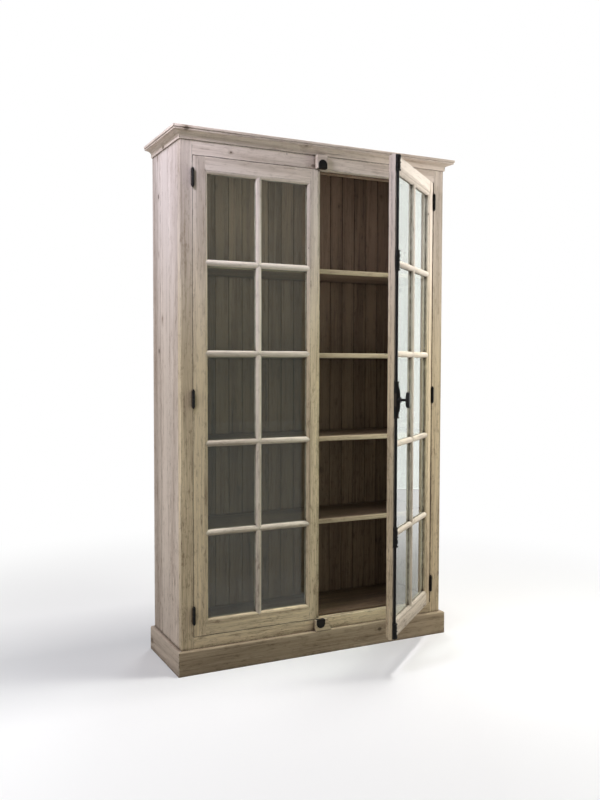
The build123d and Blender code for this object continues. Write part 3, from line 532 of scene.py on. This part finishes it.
# %% Shader group: blackened iron
coat, given, made = start_group("blackened iron", [
    ("Place", "v", None), ("Edge openness", "f", 1.0), ("Wear", "f", 1.0)],
    [("Colour", "c"), ("Roughness", "f"), ("Height", "f")])
skin = noise(coat, given["Place"], 160.0, Detail=5.0, Roughness=0.6)
patch = noise(coat, given["Place"], 30.0, Detail=3.0)
outer_edge = minus(coat, 1.0, given["Edge openness"])
broken_edge = minus(coat, outer_edge, times(coat, skin, 0.35))
rubbed_edge = times(coat, ease(coat, broken_edge, 0.1, 0.4), given["Wear"])
black = blend_colours(coat, ease(coat, patch, 0.45, 0.72), paint(15, 14, 13), paint(30, 26, 23))
dull = maths(coat, "MULTIPLY_ADD", skin, 0.35, 0.36)
feed(coat, made, {
    "Colour": blend_colours(coat, times(coat, rubbed_edge, 0.45), black, paint(84, 74, 63)),
    "Roughness": minus(coat, dull, times(coat, rubbed_edge, 0.15)), "Height": skin})
print("blackened iron:", len(coat.nodes), "nodes")

# %% Iron on the bolt, the keepers and the hinges
iron_arris_reach = 0.003
cast_pieces = ("bolt_case", "bolt_knob", "rod_guides", "top_keeper", "bottom_keeper", "pinion")
wrought_pieces = ("bolt_spindle", "upper_rod", "lower_rod", "upper_rack", "lower_rack",
                  "left_hinge_pins", "right_hinge_pins", "left_frame_hinges",
                  "right_frame_hinges", "left_door_hinges", "right_door_hinges")


def iron_material(name, worn, pitted):
    """Black iron; worn is how much its edges are rubbed, pitted how rough its skin is."""
    material, tree, shader = new_material(name)
    skin = put(tree, "ShaderNodeGroup", {
        "Place": object_place(tree), "Wear": worn,
        "Edge openness": openness(tree, iron_arris_reach, inside=True)}, node_tree=coat).outputs
    feed(tree, shader.inputs, {
        "Base Color": skin["Colour"], "Roughness": skin["Roughness"],
        "Specular IOR Level": 0.22,
        "Normal": bump(tree, skin["Height"], strength=pitted, depth=0.0004)})
    return material


cast_iron = iron_material("cast_iron", 1.0, 0.45)
drawn_iron = iron_material("drawn_iron", 0.7, 0.15)
dress(cast_iron, *cast_pieces)
dress(drawn_iron, *wrought_pieces)
print("iron on", len(cast_pieces) + len(wrought_pieces), "sub-parts")

# %% [markdown]
# ## Nails and glazing pins
# The back boards are nailed to the shelves, with two wrought nails where a board crosses a shelf,
# and the beads are fixed with small pins. A fastener repeats many times, so it is drawn once, in
# Geometry Nodes, and set on points. Each body gets one mesh of bare points, and an attribute on
# the points says which way a head faces. Every head is turned by chance about its own axis, and
# moved by a hair, since no row of hammered nails is straight. The seed is fixed, so each run gives
# the same rows.

# %% Geometry Nodes tree: its named inputs
heads = bpy.data.node_groups.new("nail heads", "GeometryNodeTree")
heads.interface.new_socket("Geometry", in_out="INPUT", socket_type="NodeSocketGeometry")
sizes = {}
for label, kind in (("Head radius", "Float"), ("Head height", "Float"), ("Crown", "Float"),
                    ("Wander", "Float"), ("Seed", "Int"), ("Material", "Material")):
    socket = heads.interface.new_socket(label, in_out="INPUT", socket_type="NodeSocket" + kind)
    sizes[label] = socket.identifier
heads.interface.new_socket("Geometry", in_out="OUTPUT", socket_type="NodeSocketGeometry")
entry = heads.nodes.new("NodeGroupInput").outputs
print("a head is given", ", ".join(sizes))

# %% Geometry Nodes tree: where each head goes, and how it is turned
chance = put(heads, "FunctionNodeRandomValue", {
    0: (-1, -1, -1), 1: (1, 1, 1), "Seed": entry["Seed"]}, data_type="FLOAT_VECTOR").outputs[0]
facing = put(heads, "GeometryNodeInputNamedAttribute", {"Name": "facing"},
             data_type="FLOAT_VECTOR").outputs[0]
level = vector_maths(heads, "SUBTRACT", chance, vector_maths(heads, "PROJECT", chance, facing))
shift = vector_maths(heads, "SCALE", level, entry["Wander"])
points = put(heads, "GeometryNodeSetPosition", {
    "Geometry": entry["Geometry"], "Offset": shift}).outputs[0]
upright = put(heads, "FunctionNodeAlignRotationToVector", {"Vector": facing}, axis="Z").outputs[0]
angle = put(heads, "FunctionNodeRandomValue", {2: 0.0, 3: 2 * pi, "Seed": entry["Seed"]},
            data_type="FLOAT").outputs[1]
spin = put(heads, "FunctionNodeAxisAngleToRotation", {"Axis": (0, 0, 1), "Angle": angle})
turned_head = put(heads, "FunctionNodeRotateRotation", {0: upright, 1: spin.outputs[0]},
                  rotation_space="LOCAL").outputs[0]
print("places and turns:", len(heads.nodes), "nodes")

# %% Geometry Nodes tree: a flattened head on every point
head_sides = 11
top_radius = times(heads, entry["Head radius"], entry["Crown"])
one_head = put(heads, "GeometryNodeMeshCone", {
    "Vertices": head_sides, "Radius Top": top_radius, "Radius Bottom": entry["Head radius"],
    "Depth": entry["Head height"]}, fill_type="NGON").outputs[0]
set_heads = put(heads, "GeometryNodeInstanceOnPoints", {
    "Points": points, "Instance": one_head, "Rotation": turned_head}).outputs[0]
solid = put(heads, "GeometryNodeRealizeInstances", {0: set_heads}).outputs[0]
finished = put(heads, "GeometryNodeSetMaterial", {
    "Geometry": solid, "Material": entry["Material"]}).outputs[0]
feed(heads, heads.nodes.new("NodeGroupOutput").inputs, {0: finished})
print("nail heads:", len(heads.nodes), "nodes")

# %% Set heads on a body


def fasten(name, body, spots, fastener, seed):
    """Set a head on every spot, a place and the way it faces, in one plain mesh on the body."""
    cloud = bpy.data.meshes.new(name + "_points")
    cloud.from_pydata([place for place, way in spots], [], [])
    ways = cloud.attributes.new("facing", "FLOAT_VECTOR", "POINT")
    for item, (place, way) in zip(ways.data, spots):
        item.vector = way
    carrier = add_object(name + "_points", cloud)
    modifier = carrier.modifiers.new("heads", "NODES")
    modifier.node_group = heads
    for label, value in {**fastener, "Seed": seed, "Material": drawn_iron}.items():
        modifier[sizes[label]] = value
    evaluated = carrier.evaluated_get(bpy.context.evaluated_depsgraph_get())
    mesh = bpy.data.meshes.new_from_object(evaluated)
    bpy.data.objects.remove(carrier)
    piece = add_object(name, mesh)
    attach(piece, body)
    print(name, len(spots), "heads,", len(mesh.polygons), "faces")


# %% Rows of nails on the back boards
nail = {"Head radius": 0.0034, "Head height": 0.0012, "Crown": 0.55, "Wander": 0.0022}
nail_stand_off = 0.0002                     # a head's middle, out from the wood
nail_places = (0.25, 0.75)                  # shares of a board's width
back_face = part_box("back_boards")[1].y
rows = []
for shelf in shelves:
    low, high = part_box(shelf)
    for board in range(back_board_count):
        for across in nail_places:
            x = back_start + (board + across) * back_board_width
            rows.append(((x, back_face + nail_stand_off, (low.z + high.z) / 2), (0, 1, 0)))
fasten("back_nails", "cabinet", rows, nail, seed=3)

# %% [markdown]
# Each pane is held by four beads, and every bead by two pins. The left door is shut, so its pins
# are placed by its beads' box. The open door has the same pattern between the sight lines of the
# shut door, turned about its hinge, which a matrix does for place and direction alike.

# %% Places of the pins in the glazing beads
bar_width = 0.0265
bead_reach, pin_inset = 0.0083, 0.0056      # of a bead and its pins, past the sight line
pin_stand_off = 0.0001                      # a head's middle, out from the bead
pin_places = (0.2, 0.8)                     # shares of a bead's length
low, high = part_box("left_door_beads")
pane_bottom, pane_top, bead_face = low.z + bead_reach, high.z - bead_reach, high.y + pin_stand_off


def bead_pins(low_x, high_x, swing):
    """Places of the pins on the inner face of one door, two to a bead, between sight lines."""
    spots = []
    light_width = (high_x - low_x - (panes_across - 1) * bar_width) / panes_across
    light_height = (pane_top - pane_bottom - (panes_down - 1) * bar_width) / panes_down
    for column in range(panes_across):
        for row in range(panes_down):
            x = low_x + column * (light_width + bar_width)
            z = pane_bottom + row * (light_height + bar_width)
            for part in pin_places:
                for across, up in ((-pin_inset, part * light_height),
                                   (light_width + pin_inset, part * light_height),
                                   (part * light_width, -pin_inset),
                                   (part * light_width, light_height + pin_inset)):
                    place = swing @ Vector((x + across, bead_face, z + up))
                    spots.append((place, swing.to_3x3() @ Vector((0, 1, 0))))
    return spots


print("the lights are", round(pane_top - pane_bottom, 3), "m high in all")

# %% Pins in the glazing beads
bead_pin = {"Head radius": 0.0011, "Head height": 0.0006, "Crown": 0.6, "Wander": 0.0006}
left_sight_lines = (low.x + bead_reach, high.x - bead_reach)
right_sight_lines = (0.0510, 0.5397)
right_hinge = Vector((0.6086, -0.2017, 0))
open_swing = (Matrix.Translation(right_hinge) @ Matrix.Rotation(door_turn, 4, "Z")
              @ Matrix.Translation(-right_hinge))
left_pins = bead_pins(*left_sight_lines, Matrix.Identity(4))
right_pins = bead_pins(*right_sight_lines, open_swing)
fasten("left_bead_pins", "left_door", left_pins, bead_pin, seed=5)
fasten("right_bead_pins", "right_door", right_pins, bead_pin, seed=7)

# %% [markdown]
# ## Floor
# The floor is a wide sheet whose material turns into plain white away from the cabinet, so there
# is no horizon, and near it keeps the shadow. Rays that light the cabinet see a greyer floor,
# because a white one would light the plinth from below. In the panes' mirror images it is dim
# under and in front of the cabinet, paler towards the card that the open door mirrors, and dim
# again behind that card's foot.

# %% A sheet for the floor
floor_reach = 14.0
corners = [(x * floor_reach, y * floor_reach, 0) for x, y in ((-1, -1), (1, -1), (1, 1), (-1, 1))]
floor_data = bpy.data.meshes.new("floor")
floor_data.from_pydata(corners, [], [(0, 1, 2, 3)])
floor = add_object("floor", floor_data)
print("floor", 2 * floor_reach, "m wide")

# %% The floor's paint
pale_floor, grey_floor = paint(240, 240, 240), paint(128, 122, 112)
card_way = (0.954, 0.301, 0)                # from the middle of the floor towards the card
card_foot = (5.1, 5.35)                     # metres that way
floor_paint, tree, sheet = new_material("studio_floor")
floor_data.materials.append(floor_paint)
place = object_place(tree)
towards_card = vector_maths(tree, "DOT_PRODUCT", place, card_way)
in_front = put(tree, "ShaderNodeSeparateXYZ", {0: place}).outputs[1]
under_cabinet = ease(tree, towards_card, 1.2, 4.4, 0.65, 0.05)
behind_card = ease(tree, towards_card, *card_foot, 0.0, 0.89)
dimness = maths(tree, "MAXIMUM", plus(tree, under_cabinet, behind_card),
                ease(tree, in_front, -0.6, -1.8, 0.0, 0.90))
path = put(tree, "ShaderNodeLightPath").outputs
mirrored = times(tree, path["Is Glossy Ray"], minus(tree, 1.0, path["Is Transmission Ray"]))
dimmed = maths(tree, "MAXIMUM", path["Is Diffuse Ray"], times(tree, mirrored, dimness))
feed(tree, sheet.inputs, {
    "Base Color": blend_colours(tree, dimmed, pale_floor, grey_floor), "Roughness": 0.9})
print("floor paint:", len(tree.nodes), "nodes")

# %% White away from the cabinet
near_edge, far_edge = 0.9, 3.0              # metres between which the floor turns white
mirror_gain = 1.2                           # how much brighter the white is in a mirror image
distance = put(tree, "ShaderNodeVectorMath", {0: place}, operation="LENGTH").outputs["Value"]
whiteness = times(tree, ease(tree, distance, near_edge, far_edge, 0.15, 1.0),
                  minus(tree, 1.0, dimmed))
white = put(tree, "ShaderNodeEmission", {
    "Color": (1, 1, 1, 1), "Strength": maths(tree, "MULTIPLY_ADD", mirrored, mirror_gain, 1.0)})
fade = put(tree, "ShaderNodeMixShader", {0: whiteness, 1: sheet.outputs[0], 2: white.outputs[0]})
feed(tree, tree.nodes["Material Output"].inputs, {0: fade.outputs[0]})
print("with the white:", len(tree.nodes), "nodes")

# %% [markdown]
# ## Light
# The world is white where the camera sees it, and only a little warm light comes from it. An
# image wrapped round the scene would show in the panes, so plain lamps do the rest: soft ones at
# both sides, one high over the open door, which throws its shadow on the floor, and one behind.
# The last is a large card of light that the open door's panes mirror. It is kept from diffuse
# surfaces, so it hardly brightens the wood.

# %% World
air_light, mirrored_air = 0.08, 0.07        # shares of white: as light, and in mirror images
world = bpy.data.worlds.new("studio")
bpy.context.scene.world = world
world.use_nodes = True
tree = world.node_tree
path = put(tree, "ShaderNodeLightPath").outputs
seen = maths(tree, "MAXIMUM", path["Is Transmission Ray"],
             times(tree, path["Is Glossy Ray"], mirrored_air))
seen = maths(tree, "MAXIMUM", path["Is Camera Ray"], seen)
feed(tree, tree.nodes["Background"].inputs, {
    "Strength": maths(tree, "MULTIPLY_ADD", seen, 1 - air_light, air_light),
    "Color": blend_colours(tree, seen, (1.0, 0.95, 0.86, 1), (1, 1, 1, 1))})
print("the air's own light is", air_light)

# %% Lamps


def lamp(name, place, target, size, power, colour):
    """A soft rectangular lamp that looks at a point."""
    data = bpy.data.lights.new(name, "AREA")
    data.shape, (data.size, data.size_y) = "RECTANGLE", size
    data.energy, data.color = power, colour
    light = add_object(name, data)
    light.location = place
    light.rotation_euler = (Vector(target) - Vector(place)).to_track_quat("-Z", "Y").to_euler()
    light.visible_camera = False
    return light


lamp("soft_left", (-3.0, -0.6, 1.3), (-0.66, 0, 0.8), (1.5, 1.5), 31, (0.95, 0.97, 1.0))
lamp("soft_high", (-1.5, -0.9, 2.9), (-0.66, -0.2, 2.1), (0.5, 0.5), 25, (0.85, 0.84, 1.0))
lamp("soft_right", (3.0, -1.8, 1.35), (0.5, -0.4, 1.0), (1.2, 1.6), 36, (1.0, 0.98, 0.92))
lamp("strip_right", (1.6, -0.8, 2.0), (0.62, -0.2, 1.6), (0.4, 1.2), 13, (1.0, 1.0, 0.95))
lamp("overhead", (0.75, -0.42, 5.5), (0.75, -0.41, 0), (0.9, 0.9), 165, (1.0, 0.98, 0.96))
lamp("soft_back", (1.8, 3.4, 2.4), (0, 0.2, 1.1), (1.6, 1.6), 60, (0.96, 0.98, 1.0))
card = lamp("mirror_card", (4.2, 0.8, 1.9), (0.4, -0.4, 1.4), (3.2, 3.6), 62, (0.97, 1.0, 0.98))
card.visible_diffuse = False
bpy.context.scene.view_settings.view_transform = "Standard"
print(len(bpy.data.lights), "lamps")
